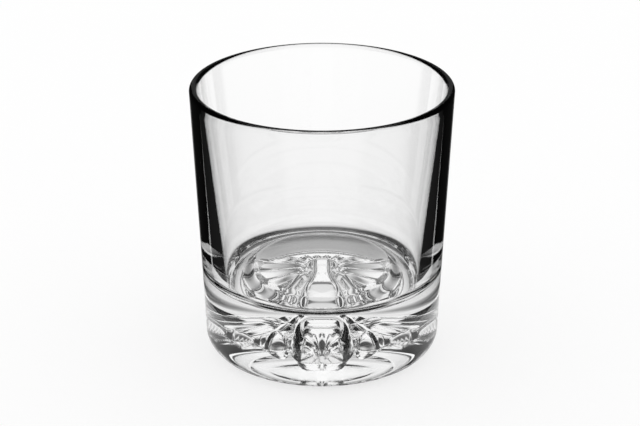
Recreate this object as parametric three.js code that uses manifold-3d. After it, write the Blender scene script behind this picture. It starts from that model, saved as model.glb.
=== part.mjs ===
import * as THREE from 'three';
import { mergeVertices } from 'three/addons/utils/BufferGeometryUtils.js';
import Module from 'manifold-3d';

// A heavy-based whiskey tumbler of pressed glass, in millimetres, +Z up.
// The origin is the centre of the foot, and the elephant's trunk points to -Y.
// The underside is a shallow dome inside a narrow standing ring, and the elephant's head
// is pressed up into it, to be seen through the thick base.

// The tumbler's own sizes.
const rimRadius = 43;
const height = 92;
const rimWall = 2.7;
const shoulderRadius = 39.6;
const shoulderHeight = 24;
const footRadius = 38.9;
const heelRadius = 7;
const underside = { radius: 30.8, height: 7 };
const floor = { height: 25.3, radius: 28.5, rise: 2.5, plateau: 23 };
const cornerRadius = 5;

// The elephant's head, seen from below with the trunk towards -Y. Heights are from the table.
const head = {
  fanCentre: 19,    // centre of the ears' round lower edge, on Y
  fanRadius: 26,
  back: 20,         // the straight upper edge of both ears, on Y
  reach: 30,        // the ears stay this far inside the standing ring
};
const skull = { y: 10, halfWidth: 8, halfLength: 7.2, depth: 16.5, fullness: 2.6 };
const cheek = { x: 6.4, y: 3.6, halfWidth: 3.8, halfLength: 4.6, depth: 13, fullness: 2 };
const eye = { x: 6, y: 7, halfWidth: 1.9, halfLength: 1.6, depth: 1.5, fullness: 2 };
const neck = { top: 14, back: 10, end: 3, half: 4, depth: 17 };
const bulb = { widest: -9, deepest: -2, shoulder: -5, front: -18.4, half: 7.9, depth: 18.6 };
const trunkFullness = { across: 2.8, along: 2.3 };
const tusk = { root: [7.4, 3], tip: [10.2, -5], half: 3.5, rootDepth: 13, tipDepth: 12.5 };
const ear = { rootY: 9, depth: 7.4, rise: 3.4, riseAt: 9, riseWidth: 7, rollOver: 2.2 };
const ribs = { lobes: 9, depth: 0.55, scallop: 0.7, start: 7, fadeIn: 5 };
const blend = 1;    // how softly one form runs into the next

// How finely the surfaces are divided.
const turnSteps = 92;
const arcSteps = 4;
const slopeSteps = 7;
const headGrid = { cell: 0.8, halfColumns: 34, front: -20, rows: 52 };
const belowFoot = { top: -2, lid: -3 };    // heights of the plug that cuts the head, outside the head

const wasm = await Module();
wasm.setup();

// Turns a closed geometry into a solid that can be cut.
function toSolid(geometry) {
  geometry.deleteAttribute('normal');
  geometry.deleteAttribute('uv');
  const merged = mergeVertices(geometry);
  const index = merged.index.array;
  const triangles = [];
  for (let i = 0; i < index.length; i += 3) {
    const [a, b, c] = [index[i], index[i + 1], index[i + 2]];
    if (a !== b && b !== c && c !== a) triangles.push(a, b, c);
  }
  const mesh = new wasm.Mesh({
    numProp: 3,
    vertProperties: new Float32Array(merged.attributes.position.array),
    triVerts: new Uint32Array(triangles),
  });
  return new wasm.Manifold(mesh);
}

// Turns a solid back into a geometry with flat facets.
function toGeometry(solid) {
  const mesh = solid.getMesh();
  const geometry = new THREE.BufferGeometry();
  geometry.setAttribute('position', new THREE.BufferAttribute(mesh.vertProperties, 3));
  geometry.setIndex(new THREE.BufferAttribute(mesh.triVerts, 1));
  geometry.computeVertexNormals();
  return geometry;
}

// Height of the hollow underside at this distance from the axis.
const undersideHeight = (radius) => underside.height * (1 - (radius / underside.radius) ** 2);

// Height of the bowl's floor, which is a low plateau with a soft slope round it.
function floorHeight(radius) {
  const fall = softStep((radius - floor.plateau) / (floor.radius - floor.plateau));
  return floor.height + floor.rise * (1 - fall);
}

// Half of the tumbler's section, from the underside's centre round to the floor's centre.
function tumblerSection() {
  const lip = rimWall / 2;
  const lipHeight = height - lip;
  const wallTop = rimRadius - rimWall;
  const cornerHeight = floor.height + cornerRadius;
  const [across, up] = [wallTop - floor.radius, lipHeight - cornerHeight];
  const touch = Math.atan2(up, across) - Math.acos(cornerRadius / Math.hypot(across, up));
  const section = new THREE.Path();
  section.moveTo(0, underside.height);
  for (let step = 1; step <= slopeSteps; step++) {
    const radius = (underside.radius * step) / slopeSteps;
    section.lineTo(radius, undersideHeight(radius));
  }
  section.lineTo(footRadius - heelRadius, 0);
  section.absarc(footRadius - heelRadius, heelRadius, heelRadius, -Math.PI / 2, 0);
  section.lineTo(shoulderRadius, shoulderHeight);
  section.lineTo(rimRadius, lipHeight);
  section.absarc(rimRadius - lip, lipHeight, lip, 0, Math.PI);
  section.absarc(floor.radius, cornerHeight, cornerRadius, touch, -Math.PI / 2, true);
  for (let step = 1; step <= slopeSteps; step++) {
    const radius = floor.radius + ((floor.plateau - floor.radius) * step) / slopeSteps;
    section.lineTo(radius, floorHeight(radius));
  }
  section.lineTo(0, floor.height + floor.rise);
  return section.getPoints(arcSteps);
}

function blankTumbler() {
  const turned = new THREE.LatheGeometry(tumblerSection(), turnSteps);
  turned.rotateX(Math.PI / 2);
  return toSolid(turned);
}

const clamp01 = (t) => Math.min(Math.max(t, 0), 1);

function softStep(t) {
  const s = clamp01(t);
  return s * s * (3 - 2 * s);
}

// The larger of two depths, with a soft valley between them.
function join(a, b, softness) {
  const t = clamp01(0.5 + (0.5 * (a - b)) / softness);
  return b + (a - b) * t + softness * t * (1 - t);
}

// A quarter-round edge: nothing at the outline, all of it one width further in.
const roundOver = (inside, width) => Math.sqrt(1 - (1 - clamp01(inside / width)) ** 2);

// A rounded height for q from 0 to 1, which goes on falling outside the form.
const bulge = (q, depth) => (q > 0 ? depth * Math.sqrt(q) : depth * q);

function dome(x, y, form) {
  const across = Math.abs((x - (form.x ?? 0)) / form.halfWidth) ** form.fullness;
  const along = Math.abs((y - form.y) / form.halfLength) ** form.fullness;
  return bulge(1 - across - along, form.depth);
}

// A narrow neck that swells to a round bulb at the front.
function trunkDepth(x, y) {
  const swell = softStep((neck.end - y) / (neck.end - bulb.widest));
  const rise = softStep((neck.top - y) / (neck.top - bulb.deepest));
  const half = neck.half + (bulb.half - neck.half) * swell;
  const depth = neck.depth + (bulb.depth - neck.depth) * rise;
  const toFront = Math.max((bulb.shoulder - y) / (bulb.shoulder - bulb.front), 0);
  const toBack = Math.max((y - neck.back) / (neck.top - neck.back), 0);
  const across = (x / half) ** trunkFullness.across;
  return bulge(1 - across - (toFront + toBack) ** trunkFullness.along, depth);
}

function tuskDepth(x, y) {
  const [rootX, rootY] = tusk.root;
  const [runX, runY] = [tusk.tip[0] - rootX, tusk.tip[1] - rootY];
  const along = clamp01(((x - rootX) * runX + (y - rootY) * runY) / (runX ** 2 + runY ** 2));
  const away = Math.hypot(x - rootX - runX * along, y - rootY - runY * along);
  const depth = tusk.rootDepth + (tusk.tipDepth - tusk.rootDepth) * along;
  return bulge(1 - (away / tusk.half) ** 2, depth);
}

// The ear is a ribbed fan, deepest round its root and rolled over at its edge.
function earDepth(x, y) {
  const turn = Math.atan2(y - ear.rootY, x);
  const fromRoot = Math.hypot(x, y - ear.rootY);
  const lobe = ribs.scallop * Math.abs(Math.sin(ribs.lobes * turn));
  const toFan = head.fanRadius - lobe - Math.hypot(x, y - head.fanCentre);
  const inside = Math.min(toFan, head.back - y, head.reach - Math.hypot(x, y));
  if (inside <= 0) return ear.depth * inside;
  const rise = ear.rise * Math.exp(-(((fromRoot - ear.riseAt) / ear.riseWidth) ** 2));
  const fold = ribs.depth * Math.cos(2 * ribs.lobes * turn) * softStep((fromRoot - ribs.start) / ribs.fadeIn);
  return (ear.depth + rise + fold) * roundOver(inside, ear.rollOver);
}

// Height that the head is pressed up to here. Outside the head it falls below the foot.
function headDepth(xSigned, y) {
  const x = Math.abs(xSigned);
  let depth = join(dome(x, y, skull), trunkDepth(x, y), blend);
  depth = join(depth, dome(x, y, cheek), blend);
  depth = join(depth, tuskDepth(x, y), blend / 2);
  depth = Math.max(depth, earDepth(x, y)) + Math.max(dome(x, y, eye), 0);
  return Math.max(depth, belowFoot.top);
}

// The head as a closed plug: a square grid on top, a flat lid below the foot.
function headPlug() {
  const { cell, halfColumns, front, rows } = headGrid;
  const positions = [];
  for (let row = 0; row <= rows; row++) {
    for (let column = -halfColumns; column <= halfColumns; column++) {
      const [x, y] = [column * cell, front + row * cell];
      positions.push(x, y, headDepth(x, y));
    }
  }
  const faces = gridFaces((point) => positions[3 * point + 2]);
  const edge = gridEdge();
  const lid = positions.length / 3;
  for (const point of edge) positions.push(positions[3 * point], positions[3 * point + 1], belowFoot.lid);
  positions.push(0, 0, belowFoot.lid);
  edge.forEach((here, i) => {
    const next = (i + 1) % edge.length;
    faces.push(here, lid + i, edge[next]);
    faces.push(edge[next], lid + i, lid + next);
    faces.push(lid + i, lid + edge.length, lid + next);
  });
  const geometry = new THREE.BufferGeometry();
  geometry.setAttribute('position', new THREE.Float32BufferAttribute(positions, 3));
  geometry.setIndex(faces);
  return toSolid(geometry);
}

// Triangles of the grid. Each square is split between its two most level corners.
function gridFaces(heightOf) {
  const { halfColumns, rows } = headGrid;
  const across = 2 * halfColumns + 1;
  const faces = [];
  for (let row = 0; row < rows; row++) {
    for (let column = 0; column < 2 * halfColumns; column++) {
      const near = row * across + column;
      const far = near + across;
      const rise = Math.abs(heightOf(far + 1) - heightOf(near));
      const otherRise = Math.abs(heightOf(far) - heightOf(near + 1));
      if (rise < otherRise) faces.push(near, near + 1, far + 1, near, far + 1, far);
      else faces.push(near, near + 1, far, far, near + 1, far + 1);
    }
  }
  return faces;
}

// The grid's outer points in order, anticlockwise seen from above.
function gridEdge() {
  const { halfColumns, rows } = headGrid;
  const last = 2 * halfColumns;
  const across = last + 1;
  const edge = [];
  for (let column = 0; column < last; column++) edge.push(column);
  for (let row = 0; row < rows; row++) edge.push(row * across + last);
  for (let column = last; column > 0; column--) edge.push(rows * across + column);
  for (let row = rows; row > 0; row--) edge.push(row * across);
  return edge;
}

function tumbler() {
  const clearGlass = new THREE.MeshStandardMaterial({
    color: 0xf4f7f7,
    roughness: 0.03,
    metalness: 0,
    transparent: true,
    opacity: 0.35,
  });
  const mesh = new THREE.Mesh(toGeometry(blankTumbler().subtract(headPlug())), clearGlass);
  mesh.name = 'tumbler';
  return mesh;
}

const glass = new THREE.Group();
glass.add(tumbler());

export default glass;
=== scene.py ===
import math
import bpy
import numpy as np
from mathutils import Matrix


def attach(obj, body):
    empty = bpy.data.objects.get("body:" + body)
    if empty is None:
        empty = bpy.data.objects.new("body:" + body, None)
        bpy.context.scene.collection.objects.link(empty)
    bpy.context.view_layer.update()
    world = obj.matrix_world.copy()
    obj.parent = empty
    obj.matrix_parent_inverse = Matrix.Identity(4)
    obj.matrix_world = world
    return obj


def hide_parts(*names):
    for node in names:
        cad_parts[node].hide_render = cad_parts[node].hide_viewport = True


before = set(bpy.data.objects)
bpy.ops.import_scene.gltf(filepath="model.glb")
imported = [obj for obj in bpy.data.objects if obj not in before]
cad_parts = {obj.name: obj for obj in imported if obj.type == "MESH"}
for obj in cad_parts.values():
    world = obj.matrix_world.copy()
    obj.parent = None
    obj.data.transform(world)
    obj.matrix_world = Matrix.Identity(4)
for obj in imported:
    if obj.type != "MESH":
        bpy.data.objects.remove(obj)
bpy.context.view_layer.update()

mm = 0.001                   # m
scene = bpy.context.scene

# The shape of the tumbler, in millimetres from the table up, the same as the frame's.
# Inside, the wall runs straight from the rim to the round corner of the floor
tumblerShape = {
    "rimRadius": 43.0,
    "height": 92.0,
    "rimWall": 2.7,
    "shoulderRadius": 39.6,  # the side is a little steeper below here
    "shoulderHeight": 24.0,
    "footRadius": 38.9,
    "heelRadius": 7.0,
    "floorHeight": 25.3,     # at its edge
    "floorRadius": 28.5,
    "floorRise": 2.5,        # how much higher the floor's middle is
    "plateauRadius": 23.0,   # where the raised middle begins to fall
    "cornerRadius": 5.0,
    "recess": 7.0,           # height of the hollow underside inside the standing ring
    "recessRadius": 30.8,
    "turnSteps": 480,
    "underRings": 230,
    # points along each part of the outline
    "heelPoints": 33,
    "basePoints": 9,
    "wallPoints": 30,
    "lipPoints": 25,
    "cornerPoints": 33,
    "floorPoints": 60,
}

# The elephant's head is pressed up into the underside, with the trunk towards the front. Sizes are
# in mm, X is from the middle outwards and Y to the back. A form's depth is its height above the
# table, and the eye, the ribs, the folds and the cleft are measured from the form that they are on.
# Lobes, ribs, neck and trunk are a little fuller than the frame's, and the trunk's folds are finer
head = {
    "fanCentre": 19.0,       # centre of the ears' round lower edge, on Y
    "fanRadius": 26.0,
    "back": 20.0,            # the straight upper edge of both ears, on Y
    "reach": 30.0,           # the ears stay within this radius, inside the standing ring
    "lobes": 9,              # in half a turn about the ears' root
    "scallop": 1.6,          # how far the edge is drawn in between them
    "softness": 1.0,         # how softly one form runs into the next
}
ear = {
    "rootY": 9.0,
    "depth": 7.4,
    "rise": 3.4,             # how much deeper it is in a ring round its root
    "riseAt": 9.0,           # that ring's radius
    "riseWidth": 7.0,
    "rollOver": 1.1,         # width of the rounded edge
    "ribDepth": 1.1,         # up and down from the ear
    "ribStart": 7.0,         # from the root
    "ribFade": 5.0,
}
# Of these three forms, one with fullness 2 is an ellipse seen from below, and more is squarer
skull = {"x": 0.0, "y": 10.0, "halfWidth": 8.0, "halfLength": 7.2, "depth": 16.5, "fullness": 2.6}
cheek = {"x": 6.4, "y": 3.6, "halfWidth": 3.8, "halfLength": 4.6, "depth": 13.0, "fullness": 2.0}
eye = {"x": 6.0, "y": 7.0, "halfWidth": 1.9, "halfLength": 1.6, "depth": 1.5, "fullness": 2.0}
# The trunk, by places on Y
neck = {"top": 14.0, "back": 10.0, "end": 3.0, "half": 4.6, "depth": 18.4}
bulb = {"widest": -9.0, "deepest": -2.0, "shoulder": -5.0, "front": -18.4, "half": 7.9, "depth": 18.6}
trunkFullness = {"across": 5.0, "along": 2.3}
tusk = {"rootX": 7.4, "rootY": 3.0, "tipX": 10.2, "tipY": -5.0, "half": 3.5, "rootDepth": 13.0,
        "tipDepth": 12.5, "softness": 0.5}
# The curled tip, with its folds round a point on the trunk's front
tip = {
    "from": -13.5,           # the folds lie in front of this, on Y
    "fadeIn": 1.5,
    "height": 9.0,           # of the middle of the folds
    "hole": 2.5,             # the folds grow within this radius
    "reach": 5.5,            # and die away from this one on
    "fadeOut": 2.0,
    "footFade": 4.0,         # below this height folds and cleft die away
    "folds": 14,
    "foldDepth": 0.7,
    "cleftDepth": 2.5,
    "cleftHalf": 1.0,
    "cleftReach": 2.5,       # up and down from the middle of the folds
}


def clamp01(t):
    return np.clip(t, 0.0, 1.0)


def softStep(t):
    # from 0 to 1, level at both ends
    s = clamp01(t)
    return s * s * (3 - 2 * s)


def join(a, b, softness):
    # the larger of two heights, with a soft valley between them
    t = clamp01(0.5 + 0.5 * (a - b) / softness)
    return b + (a - b) * t + softness * t * (1 - t)


def roundOver(inside, width):
    # a quarter-round edge: 0 at the outline, 1 from one width further in
    return np.sqrt(1 - (1 - clamp01(inside / width)) ** 2)


def bulge(q, depth):
    # a rounded height for q from 0 to 1, which goes on falling outside the form
    return depth * np.where(q > 0, np.sqrt(np.maximum(q, 0)), q)


def dome(x, y, form):
    across = np.abs((x - form["x"]) / form["halfWidth"]) ** form["fullness"]
    along = np.abs((y - form["y"]) / form["halfLength"]) ** form["fullness"]
    return bulge(1 - across - along, form["depth"])


def trunkDepth(x, y):
    # a narrow neck that swells to a round bulb at the front
    swell = softStep((neck["end"] - y) / (neck["end"] - bulb["widest"]))
    rise = softStep((neck["top"] - y) / (neck["top"] - bulb["deepest"]))
    half = neck["half"] + (bulb["half"] - neck["half"]) * swell
    depth = neck["depth"] + (bulb["depth"] - neck["depth"]) * rise
    toFront = np.maximum((bulb["shoulder"] - y) / (bulb["shoulder"] - bulb["front"]), 0)
    toBack = np.maximum((y - neck["back"]) / (neck["top"] - neck["back"]), 0)
    across = np.abs(x / half) ** trunkFullness["across"]
    return bulge(1 - across - (toFront + toBack) ** trunkFullness["along"], depth)


def tuskDepth(x, y):
    runX, runY = tusk["tipX"] - tusk["rootX"], tusk["tipY"] - tusk["rootY"]
    along = clamp01(((x - tusk["rootX"]) * runX + (y - tusk["rootY"]) * runY) / (runX ** 2 + runY ** 2))
    away = np.hypot(x - tusk["rootX"] - runX * along, y - tusk["rootY"] - runY * along)
    depth = tusk["rootDepth"] + (tusk["tipDepth"] - tusk["rootDepth"]) * along
    return bulge(1 - (away / tusk["half"]) ** 2, depth)


def earDepth(x, y):
    # a ribbed fan, deepest round its root and rolled over at its edge
    turn = np.arctan2(y - ear["rootY"], x)
    fromRoot = np.hypot(x, y - ear["rootY"])
    lobe = head["scallop"] * np.abs(np.sin(head["lobes"] * turn))
    toEdge = head["fanRadius"] - lobe - np.hypot(x, y - head["fanCentre"])
    inside = np.minimum(np.minimum(toEdge, head["back"] - y), head["reach"] - np.hypot(x, y))
    rise = ear["rise"] * np.exp(-((fromRoot - ear["riseAt"]) / ear["riseWidth"]) ** 2)
    fold = softStep((fromRoot - ear["ribStart"]) / ear["ribFade"])
    fold = fold * ear["ribDepth"] * np.cos(2 * head["lobes"] * turn)
    return np.where(inside > 0, (ear["depth"] + rise + fold) * roundOver(inside, ear["rollOver"]), inside)


def trunkFolds(x, y, depth):
    # the curled tip, on the trunk's front: a cleft with folds all round it
    turn = np.arctan2(x, depth - tip["height"])
    away = np.hypot(x, depth - tip["height"])
    onFront = softStep((tip["from"] - y) / tip["fadeIn"]) * softStep(depth / tip["footFade"])
    fold = softStep(away / tip["hole"]) * (1 - softStep((away - tip["reach"]) / tip["fadeOut"]))
    fold = fold * tip["foldDepth"] * np.cos(tip["folds"] * turn)
    cleft = tip["cleftDepth"] * np.exp(-(x / tip["cleftHalf"]) ** 2)
    cleft = cleft * (1 - softStep((np.abs(depth - tip["height"]) - tip["cleftReach"]) / tip["fadeOut"]))
    return (fold - cleft) * onFront


def headDepth(xSigned, y):
    # height that the head is pressed up to, alike on both sides
    x = np.abs(xSigned)
    depth = join(dome(x, y, skull), trunkDepth(x, y), head["softness"])
    depth = join(depth, dome(x, y, cheek), head["softness"])
    depth = join(depth, tuskDepth(x, y), tusk["softness"])
    depth = np.maximum(depth, earDepth(x, y)) + np.maximum(dome(x, y, eye), 0)
    return depth + trunkFolds(x, y, depth)


def underHeight(x, y):
    # height of the underside above the table
    away = (x ** 2 + y ** 2) / tumblerShape["recessRadius"] ** 2
    return np.maximum(tumblerShape["recess"] * np.maximum(1 - away, 0), headDepth(x, y))


def arcPoints(centre, radius, start, end, count):
    turns = np.linspace(math.radians(start), math.radians(end), count)
    return [(centre[0] + radius * math.cos(t), centre[1] + radius * math.sin(t)) for t in turns]


def linePoints(start, end, count):
    run = np.array(end) - np.array(start)
    return [tuple(np.array(start) + run * t) for t in np.linspace(0, 1, count)]


def tumblerOutline():
    # from the standing ring up the outside, over the rim and down to the floor's centre
    shape = tumblerShape
    lip = shape["rimWall"] / 2
    lipHeight = shape["height"] - lip
    heel = (shape["footRadius"] - shape["heelRadius"], shape["heelRadius"])
    foot = (shape["footRadius"], shape["heelRadius"])
    shoulder = (shape["shoulderRadius"], shape["shoulderHeight"])
    wallTop = (shape["rimRadius"] - shape["rimWall"], lipHeight)
    corner = (shape["floorRadius"], shape["floorHeight"] + shape["cornerRadius"])
    # the corner's round starts where the straight wall touches it
    reach = math.hypot(wallTop[0] - corner[0], wallTop[1] - corner[1])
    lean = math.atan2(wallTop[1] - corner[1], wallTop[0] - corner[0])
    touch = math.degrees(lean - math.acos(shape["cornerRadius"] / reach))
    cornerRound = arcPoints(corner, shape["cornerRadius"], touch, -90, shape["cornerPoints"])
    outline = arcPoints(heel, shape["heelRadius"], -90, 0, shape["heelPoints"])
    outline += linePoints(foot, shoulder, shape["basePoints"])[1:]
    outline += linePoints(shoulder, (shape["rimRadius"], lipHeight), shape["wallPoints"])[1:]
    outline += arcPoints((shape["rimRadius"] - lip, lipHeight), lip, 0, 180, shape["lipPoints"])[1:]
    outline += linePoints(wallTop, cornerRound[0], shape["wallPoints"])[1:]
    outline += cornerRound[1:]
    for radius in np.linspace(shape["floorRadius"], 0, shape["floorPoints"])[1:]:
        fall = softStep((radius - shape["plateauRadius"]) / (shape["floorRadius"] - shape["plateauRadius"]))
        outline.append((radius, shape["floorHeight"] + shape["floorRise"] * (1 - fall)))
    return outline


def bandFaces(first, second, count):
    # faces between two rings of points
    here = np.arange(count)
    after = (here + 1) % count
    return np.stack([first + here, first + after, second + after, second + here], -1).tolist()


def fanFaces(ring, centre, count):
    # faces from a ring of points to its middle
    here = np.arange(count)
    after = (here + 1) % count
    return np.stack([ring + here, ring + after, np.full(count, centre)], -1).tolist()


def makeTumbler():
    steps, rings = tumblerShape["turnSteps"], tumblerShape["underRings"]
    turns = np.linspace(0, 2 * np.pi, steps, endpoint=False)
    cosines, sines = np.cos(turns), np.sin(turns)
    outline = tumblerOutline()
    profile = np.array(outline[:-1])
    points = [np.stack([profile[:, :1] * cosines, profile[:, :1] * sines,
                        np.repeat(profile[:, 1:], steps, 1)], -1).reshape(-1, 3)]
    points.append(np.array([[0, 0, outline[-1][1]]]))
    faces = []
    for ring in range(len(profile) - 1):
        faces += bandFaces(ring * steps, (ring + 1) * steps, steps)
    floorCentre = len(profile) * steps
    faces += fanFaces((len(profile) - 1) * steps, floorCentre, steps)
    # the underside, from the standing ring to its centre, each ring joined to the one before it
    radii = np.linspace(profile[0][0], 0, rings + 1)[1:-1, None]
    x, y = radii * cosines, radii * sines
    points.append(np.stack([x, y, underHeight(x, y)], -1).reshape(-1, 3))
    middle = underHeight(np.zeros(1), np.zeros(1))[0]
    points.append(np.array([[0, 0, middle]]))
    inner = 0
    for ring in range(len(radii)):
        outer, inner = inner, floorCentre + 1 + ring * steps
        faces += bandFaces(inner, outer, steps)
    faces += [face[::-1] for face in fanFaces(inner, floorCentre + 1 + len(radii) * steps, steps)]
    mesh = bpy.data.meshes.new("tumblerGlass")
    mesh.from_pydata((np.concatenate(points) * mm).tolist(), [], faces)
    mesh.polygons.foreach_set("use_smooth", [True] * len(mesh.polygons))
    mesh.update()
    piece = bpy.data.objects.new("tumblerGlass", mesh)
    scene.collection.objects.link(piece)
    return piece


def hexToLinear(code):
    # sRGB's own curve
    channels = [int(code[i:i + 2], 16) / 255 for i in (1, 3, 5)]
    return [c / 12.92 if c <= 0.04045 else ((c + 0.055) / 1.055) ** 2.4 for c in channels] + [1]


def addNode(tree, kind, settings=None):
    # a setting is one of the node's attributes, or fills one of its sockets, by name or number, with
    # a value, another node's output or another node, which then gives its first output
    node = tree.nodes.new(kind)
    for key, value in (settings or {}).items():
        if isinstance(value, bpy.types.Node):
            value = value.outputs[0]
        if isinstance(value, bpy.types.NodeSocket):
            tree.links.new(value, node.inputs[key])
        elif isinstance(key, str) and hasattr(node, key):
            setattr(node, key, value)
        else:
            node.inputs[key].default_value = value
    return node


def newMaterial(name):
    material = bpy.data.materials.new(name)
    material.use_nodes = True
    material.node_tree.nodes.clear()
    return material, material.node_tree


# Lead-free crystal glass, pressed and fire-polished: bright, clear and only faintly uneven
crystal = {
    "tint": "#ffffff",
    "ior": 1.5,
    "roughness": 0.0,
    "waveSize": 9.0,         # mm, the slow unevenness that pressing leaves
    "waveDetail": 1.0,
    "waveDepth": 0.2,        # mm
    "waveStrength": 0.03,    # the share of that depth that shows
}


def crystalGlass():
    material, tree = newMaterial("pressedCrystalGlass")
    place = addNode(tree, "ShaderNodeTexCoord").outputs["Object"]
    wave = addNode(tree, "ShaderNodeTexNoise", {
        "Vector": place, "Scale": 1 / (crystal["waveSize"] * mm), "Detail": crystal["waveDetail"]})
    bump = addNode(tree, "ShaderNodeBump", {
        "Strength": crystal["waveStrength"], "Distance": crystal["waveDepth"] * mm,
        "Height": wave.outputs["Fac"]})
    glass = addNode(tree, "ShaderNodeBsdfPrincipled", {
        "Base Color": hexToLinear(crystal["tint"]), "Roughness": crystal["roughness"],
        "IOR": crystal["ior"], "Transmission Weight": 1.0, "Normal": bump})
    addNode(tree, "ShaderNodeOutputMaterial", {"Surface": glass})
    return material


tumbler = makeTumbler()
tumbler.data.materials.append(crystalGlass())
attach(tumbler, "root")
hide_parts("tumbler")
print("tumbler made:", len(tumbler.data.polygons), "faces")


# Light Path counts faces and mirrors in whole numbers, so each limit lies between two of them
rayLimits = {
    "fourFaces": 3.5,        # above it light came through both walls, or through the wall and the floor
    "mirrored": 0.5,         # below it no surface has mirrored the light
}

# The table is plain white board, which keeps the glass's soft shadow
table = {
    "colour": "#fdfdfd",
    "cameraWhite": 0.7,      # how far the lit backdrop takes the board to white
    "halfSize": 8.0,         # m
    "drop": 0.4,             # mm below the standing ring
}


def makeTable():
    size = table["halfSize"]
    corners = [(-size, -size, 0), (size, -size, 0), (size, size, 0), (-size, size, 0)]
    mesh = bpy.data.meshes.new("table")
    mesh.from_pydata(corners, [], [(0, 1, 2, 3)])
    board = bpy.data.objects.new("table", mesh)
    scene.collection.objects.link(board)
    board.location.z = -table["drop"] * mm
    board.visible_transmission = False
    board.visible_glossy = False
    material, tree = newMaterial("whiteBoard")
    diffuse = addNode(tree, "ShaderNodeBsdfDiffuse", {"Color": hexToLinear(table["colour"])})
    white = addNode(tree, "ShaderNodeEmission", {"Color": (1, 1, 1, 1)})
    ray = addNode(tree, "ShaderNodeLightPath").outputs
    share = addNode(tree, "ShaderNodeMath", {
        "operation": "MULTIPLY", 0: ray["Is Camera Ray"], 1: table["cameraWhite"]})
    both = addNode(tree, "ShaderNodeMixShader", {0: share, 1: diffuse, 2: white})
    addNode(tree, "ShaderNodeOutputMaterial", {"Surface": both})
    mesh.materials.append(material)


# A glowing disc in the board's place close to the foot, seen only by the glass. Its tones are painted light
# and
# painted shade, as if lit from behind: painted light at the back and sides, with a painted shadow of the
# glass in front and in a ring. Tones are by mm from the axis, one set for light that came through the wall
# or heel and one for light that came through the bowl
footLightAndShade = {
    "radius": 66.0,          # mm
    "steps": 128,
    "drop": 0.2,             # mm below the standing ring
    # rings of painted light and painted shadow: the low tones are the glass's painted shadow, the high ones
    # painted light
    "wallTones": {
        "back": [(0, 0.8), (12, 0.75), (16, 0.05), (24, 0.05), (27, 0.6), (30, 0.85), (39, 0.9), (42, 0.6),
                 (46, 0.55), (51, 0.12), (54, 0.4), (56, 0.85), (66, 0.8)],
        "side": [(0, 0.85), (12, 0.8), (22, 0.7), (25, 0.3), (28, 0.25), (31, 0.85), (66, 0.9)],
        "front": [(0, 0.8), (16, 0.6), (19, 0.2), (22, 0.05), (27, 0.02), (30, 0.01), (38, 0.01), (42, 0.5),
                  (66, 0.9)]},
    "bowlTones": {
        "back": [(0, 0.75), (16, 0.7), (18, 0.1), (20, 0.05), (27, 0.1), (29, 0.4), (30.5, 0.6), (32, 0.36),
                 (38, 0.3), (40, 0.03), (51, 0.02), (54, 0.5), (57, 0.83), (66, 0.9)],
        "side": [(0, 0.95), (9, 0.8), (12, 0.1), (15, 0.1), (18, 0.9), (23, 1.0), (30, 1.0), (34, 0.8),
                 (38, 0.5), (42, 0.9), (66, 0.9)],
        "front": [(0, 0.95), (4, 0.95), (9, 0.8), (13, 0.1), (18, 0.05), (22, 0.8), (26, 0.9), (33, 0.95),
                  (66, 0.9)]},
    # where back and front take over from the side, by the share of Y in the direction from the axis
    "sectors": {"back": (0.5, 0.85), "front": (-0.4, -0.6)},
}


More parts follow.
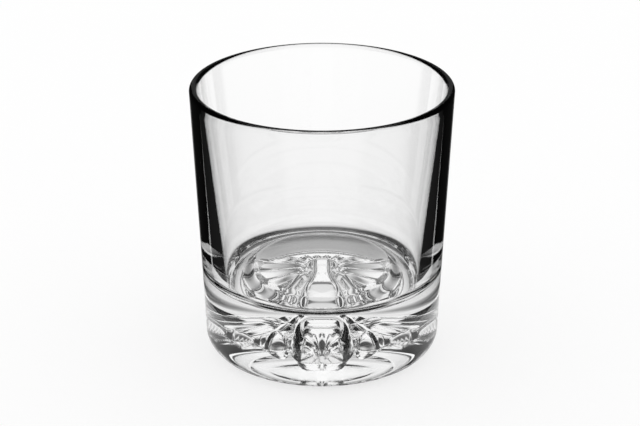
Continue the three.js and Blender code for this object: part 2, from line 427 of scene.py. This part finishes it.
def makeFootLightAndShade():
    steps, radius = footLightAndShade["steps"], footLightAndShade["radius"]
    turns = [2 * math.pi * i / steps for i in range(steps)]
    rim = [(radius * mm * math.cos(turn), radius * mm * math.sin(turn), 0) for turn in turns]
    mesh = bpy.data.meshes.new("footLightAndShade")
    mesh.from_pydata([(0, 0, 0)] + rim, [], [(0, 1 + i, 1 + (i + 1) % steps) for i in range(steps)])
    disc = bpy.data.objects.new("footLightAndShade", mesh)
    scene.collection.objects.link(disc)
    disc.location.z = -footLightAndShade["drop"] * mm
    disc.visible_camera = False
    disc.visible_shadow = False
    disc.visible_diffuse = False
    # a material of painted light and painted shade for the board by the foot, not the board's own colour
    material, tree = newMaterial("paintedLightAndShadeByTheFoot")
    place = addNode(tree, "ShaderNodeNewGeometry").outputs["Position"]
    axes = addNode(tree, "ShaderNodeSeparateXYZ", {0: place}).outputs
    away = addNode(tree, "ShaderNodeVectorMath", {"operation": "LENGTH", 0: place}).outputs["Value"]
    outward = addNode(tree, "ShaderNodeMath", {"operation": "MULTIPLY", 0: away, 1: 1 / (radius * mm)})
    toBack = addNode(tree, "ShaderNodeMath", {"operation": "DIVIDE", 0: axes["Y"], 1: away})

    def rings(wanted):
        # rings of these tones round the axis
        ramp = addNode(tree, "ShaderNodeValToRGB", {"Fac": outward})
        stops = ramp.color_ramp.elements
        while len(stops) < len(wanted):
            stops.new(0.5)
        for stop, (at, tone) in zip(stops, wanted):
            stop.position = at / radius
            stop.color = (tone, tone, tone, 1)
        return ramp

    def allRound(wanted):
        # the side's tones, with the back's and the front's laid over them in their sectors. The sockets
        # 6, 7 and 2 are this node's two colours and their mixture
        tone = rings(wanted["side"])
        for name in ("back", "front"):
            start, full = footLightAndShade["sectors"][name]
            part = addNode(tree, "ShaderNodeMapRange", {
                "interpolation_type": "SMOOTHSTEP", 0: toBack, 1: start, 2: full})
            mixed = addNode(tree, "ShaderNodeMix", {
                "data_type": "RGBA", 0: part, 6: tone, 7: rings(wanted[name])})
            tone = mixed.outputs[2]
        return tone

    ray = addNode(tree, "ShaderNodeLightPath").outputs
    throughBowl = addNode(tree, "ShaderNodeMath", {
        "operation": "GREATER_THAN", 0: ray["Transmission Depth"], 1: rayLimits["fourFaces"]})
    mixed = addNode(tree, "ShaderNodeMix", {
        "data_type": "RGBA", 0: throughBowl, 6: allRound(footLightAndShade["wallTones"]),
        7: allRound(footLightAndShade["bowlTones"])})
    # the disc glows with these painted tones of light and shade, though it is no lamp
    light = addNode(tree, "ShaderNodeEmission", {"Color": mixed.outputs[2]})
    addNode(tree, "ShaderNodeOutputMaterial", {"Surface": light})
    mesh.materials.append(material)


makeTable()
makeFootLightAndShade()
print("table made")


# The studio round the glass: white screens, with dark between them for the glass's dark edges.
# Directions are in degrees, the turn from +Y towards +X and the height above the horizon. Each
# screen gives its turn, height, half width, half height, the share that its edge fades over and tone
studio = {
    # the first list is what light finds that came through the glass, the second what its faces mirror
    "screens": [(0, 0, 20, 60, 0.05, 1.0), (-45, -20, 9, 7.5, 0.1, 0.9), (45, -20, 9, 7.5, 0.1, 0.9),
                (-112, -13, 42, 16, 0.1, 0.9), (112, -13, 42, 16, 0.1, 0.9), (180, 0, 45, 60, 0.2, 1.0)],
    "mirrored": [(0, 0, 17.5, 60, 0.05, 0.15), (180, 35, 45, 38, 0.2, 1.0)],
    "squareness": 4,         # 2 makes a screen an ellipse, and more makes it squarer
    # tones by height: the two heights between which each changes, the tone below and the tone above
    "heights": {
        "sky": (50, 65, 0.012, 1.0),         # the dark round the screens turns to white high up
        "farTable": (-40, -35, 0.85, 0),     # as light that came through the glass finds it
        "fade": (-30, -18, 0.93, 1),         # the screens are a little darker low down
        "backdropFrom": (-45, -38, 0, 1.0),  # the white behind the glass, straight through both walls
        "backdropTo": (0, 6, 1, 0),
    },
}


def makeStudio():
    world = bpy.data.worlds.new("studio")
    scene.world = world
    world.use_nodes = True
    tree = world.node_tree
    tree.nodes.clear()

    place = addNode(tree, "ShaderNodeTexCoord").outputs["Generated"]
    axes = addNode(tree, "ShaderNodeSeparateXYZ", {0: place}).outputs
    turn = addNode(tree, "ShaderNodeMath", {"operation": "ARCTAN2", 0: axes["X"], 1: axes["Y"]})
    turn = addNode(tree, "ShaderNodeMath", {"operation": "MULTIPLY", 0: turn, 1: math.degrees(1)})
    lift = addNode(tree, "ShaderNodeMath", {"operation": "ARCSINE", 0: axes["Z"]})
    lift = addNode(tree, "ShaderNodeMath", {"operation": "MULTIPLY", 0: lift, 1: math.degrees(1)})
    power = studio["squareness"]

    def screen(atTurn, atLift, halfTurn, halfLift, soft, tone):
        # a rounded rectangle of this tone among the directions
        away = []
        for angle, middle, half in ((turn, atTurn, halfTurn), (lift, atLift, halfLift)):
            part = addNode(tree, "ShaderNodeMath", {"operation": "SUBTRACT", 0: angle, 1: middle})
            part = addNode(tree, "ShaderNodeMath", {"operation": "WRAP", 0: part, 1: 180, 2: -180})
            part = addNode(tree, "ShaderNodeMath", {"operation": "DIVIDE", 0: part, 1: half})
            part = addNode(tree, "ShaderNodeMath", {"operation": "ABSOLUTE", 0: part})
            away.append(addNode(tree, "ShaderNodeMath", {"operation": "POWER", 0: part, 1: power}))
        both = addNode(tree, "ShaderNodeMath", {"operation": "ADD", 0: away[0], 1: away[1]})
        both = addNode(tree, "ShaderNodeMath", {"operation": "POWER", 0: both, 1: 1 / power})
        return addNode(tree, "ShaderNodeMapRange", {
            "interpolation_type": "SMOOTHSTEP", 0: both, 1: 1 - soft, 2: 1 + soft, 3: tone, 4: 0})

    def allScreens(screens):
        total = screen(*screens[0])
        for sizes in screens[1:]:
            total = addNode(tree, "ShaderNodeMath", {"operation": "MAXIMUM", 0: total, 1: screen(*sizes)})
        return total

    tones = {}
    for name, (low, high, below, above) in studio["heights"].items():
        tones[name] = addNode(tree, "ShaderNodeMapRange", {
            "interpolation_type": "SMOOTHSTEP", 0: lift, 1: low, 2: high, 3: below, 4: above})
    through = addNode(tree, "ShaderNodeMath", {
        "operation": "MAXIMUM", 0: allScreens(studio["screens"]), 1: tones["farTable"]})
    ray = addNode(tree, "ShaderNodeLightPath").outputs
    # straight through both walls the white backdrop shows, whichever side the glass is seen from
    fourFaces = addNode(tree, "ShaderNodeMath", {
        "operation": "GREATER_THAN", 0: ray["Transmission Depth"], 1: rayLimits["fourFaces"]})
    unmirrored = addNode(tree, "ShaderNodeMath", {
        "operation": "LESS_THAN", 0: ray["Glossy Depth"], 1: rayLimits["mirrored"]})
    straight = addNode(tree, "ShaderNodeMath", {"operation": "MULTIPLY", 0: fourFaces, 1: unmirrored})
    backdrop = addNode(tree, "ShaderNodeMath", {
        "operation": "MULTIPLY", 0: tones["backdropFrom"], 1: tones["backdropTo"]})
    backdrop = addNode(tree, "ShaderNodeMath", {"operation": "MULTIPLY", 0: straight, 1: backdrop})
    through = addNode(tree, "ShaderNodeMath", {"operation": "MAXIMUM", 0: through, 1: backdrop})
    screens = addNode(tree, "ShaderNodeMix", {
        "data_type": "FLOAT", 0: ray["Is Transmission Ray"], 2: allScreens(studio["mirrored"]), 3: through})
    screens = addNode(tree, "ShaderNodeMath", {"operation": "MULTIPLY", 0: screens, 1: tones["fade"]})
    around = addNode(tree, "ShaderNodeMath", {"operation": "MAXIMUM", 0: screens, 1: tones["sky"]})
    # for everything but the glass the world is plain white
    byGlass = addNode(tree, "ShaderNodeMath", {
        "operation": "MAXIMUM", 0: ray["Is Transmission Ray"], 1: ray["Is Glossy Ray"]})
    tone = addNode(tree, "ShaderNodeMix", {"data_type": "FLOAT", 0: byGlass, 2: 1.0, 3: around})
    light = addNode(tree, "ShaderNodeBackground", {"Color": tone})
    addNode(tree, "ShaderNodeOutputWorld", {"Surface": light})


makeStudio()
print("studio made")


# A long lens, looking down at the glass from the front
view = {
    "distance": 708.6,       # mm
    "height": 347.4,         # mm
    "lookDown": 0.401,       # radians
    "lens": 130.96,          # mm
    "sensor": 36,            # mm
    "shift": -2.0 / 640,     # share of the picture's width
    "nearest": 0.01,         # m
}


def makeCamera():
    camera = bpy.data.objects.new("camera", bpy.data.cameras.new("camera"))
    scene.collection.objects.link(camera)
    camera.location = (0, -view["distance"] * mm, view["height"] * mm)
    camera.rotation_euler = (math.pi / 2 - view["lookDown"], 0, 0)
    camera.data.lens = view["lens"]
    camera.data.sensor_width = view["sensor"]
    camera.data.shift_x = view["shift"]
    camera.data.clip_start = view["nearest"]
    scene.camera = camera


makeCamera()
scene.view_settings.view_transform = "Standard"
print("camera made")
